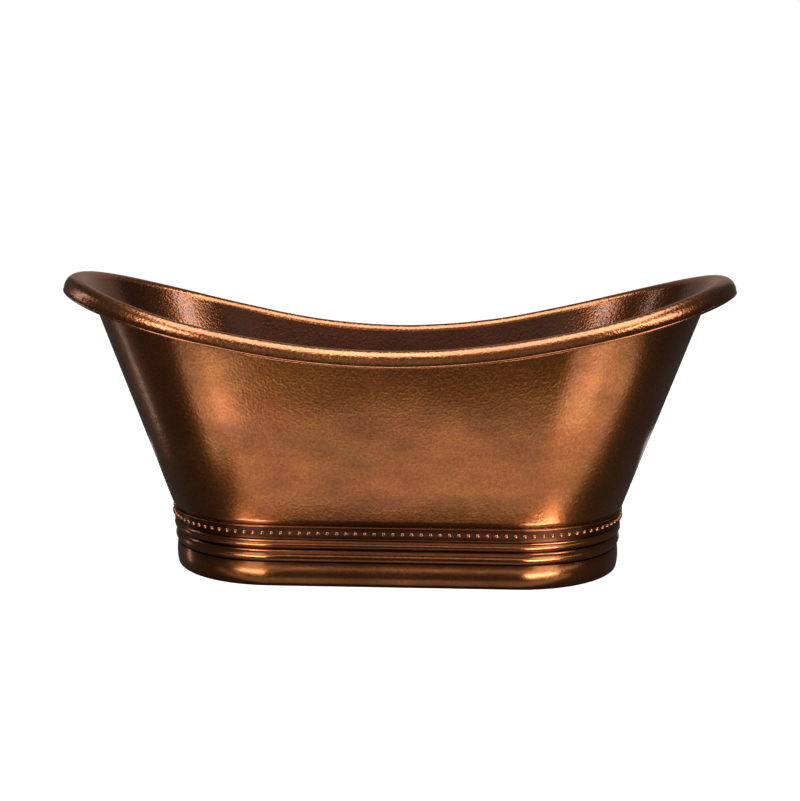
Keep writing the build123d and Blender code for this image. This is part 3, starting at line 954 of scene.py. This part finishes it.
def build_floor():
    """Pale floor, clear from below, under its own even light that doesn't fall on the bath."""
    size = 12.0
    mesh = bpy.data.meshes.new("studio_floor")
    corners = [(-size, -size, 0), (size, -size, 0), (size, size, 0), (-size, size, 0)]
    mesh.from_pydata(corners, [], [(0, 1, 2, 3)])
    floor = bpy.data.objects.new("studio_floor", mesh)
    bpy.context.scene.collection.objects.link(floor)
    m = Nodes("studio_floor")
    m.set(Base_Color=(0.86, 0.86, 0.86, 1), Roughness=0.9, Specular_IOR_Level=0.0)
    m.set(Emission_Color=(1, 1, 1, 1))
    under_side = m.add("ShaderNodeNewGeometry").outputs["Backfacing"]
    m.join(m.spread(under_side, 1.0, 0.0, start=0.0, end=1.0), m.shader.inputs["Alpha"])
    m.join(m.spread(under_side, 0.6, 0.0, start=0.0, end=1.0), m.shader.inputs["Emission Strength"])
    floor.data.materials.append(m.material)
    floor.visible_glossy = False
    floor.visible_shadow = False

    lit = bpy.data.collections.new("floor_only")
    lit.objects.link(floor)
    data = bpy.data.lights.new("floor_sun", "SUN")
    data.energy = 1.6
    data.angle = math.radians(70)
    sun = bpy.data.objects.new("floor_sun", data)
    sun.rotation_euler = (math.radians(8), 0, 0)
    sun.light_linking.receiver_collection = lit
    bpy.context.scene.collection.objects.link(sun)


def build_world():
    """White to the camera, and dim to everything else, so that the copper keeps its depth."""
    world = bpy.data.worlds.new("studio")
    world.use_nodes = True
    nodes, links = world.node_tree.nodes, world.node_tree.links
    background = nodes["Background"]
    path = nodes.new("ShaderNodeLightPath")
    mix = nodes.new("ShaderNodeMix")
    mix.data_type = "RGBA"
    dim, white = [s for s in mix.inputs if s.type == "RGBA"]
    dim.default_value = (0.055, 0.052, 0.050, 1)
    white.default_value = (1.0, 1.0, 1.0, 1)
    links.new(path.outputs["Is Camera Ray"], mix.inputs["Factor"])
    links.new([s for s in mix.outputs if s.type == "RGBA"][0], background.inputs["Color"])
    bpy.context.scene.world = world


def build_camera():
    """Standing viewpoint three metres in front of the bath, a little right of its middle."""
    data = bpy.data.cameras.new("camera")
    data.sensor_width = 36.0
    data.lens = 52.4
    data.clip_end = 60
    camera = bpy.data.objects.new("camera", data)
    bpy.context.scene.collection.objects.link(camera)
    heading, down, roll = -0.0446, 0.1467, 0.0045
    level = math.cos(down)
    forward = Vector((math.sin(heading) * level, math.cos(heading) * level, -math.sin(down)))
    camera.location = (0.141, -2.997, 0.862)
    camera.rotation_mode = "QUATERNION"
    camera.rotation_quaternion = forward.to_track_quat("-Z", "Y")
    camera.rotation_quaternion = (
        camera.rotation_quaternion.to_matrix() @ Matrix.Rotation(roll, 3, "Z")
    ).to_quaternion()
    bpy.context.scene.camera = camera


# ---------------------------------------------------------------- build
tub_metal, inside_metal = tub_copper(), inside_shaded_copper()
rim_metal, plinth_metal = rim_copper(), plinth_copper()
for sheet_part in build_walls() + [build_pan()]:
    paint(sheet_part, tub_metal, inside_metal)
paint(build_rim(), tub_metal, rim_metal)
paint(build_rim_wire(), rim_metal)
for moulding in build_plinth():
    paint(moulding, plinth_metal)
# the strip behind the beads takes the dark recess copper: patina and painted shade
paint(ring_piece("bead_band", rounded_strip(), "bead_strip", 0.2800, 0.0), recess_shade_copper())
paint(build_beads(), bead_highlight_copper())
finish_frame_nodes()
build_floor()
build_lights()
build_world()
build_camera()
bpy.context.scene.view_settings.view_transform = "Standard"
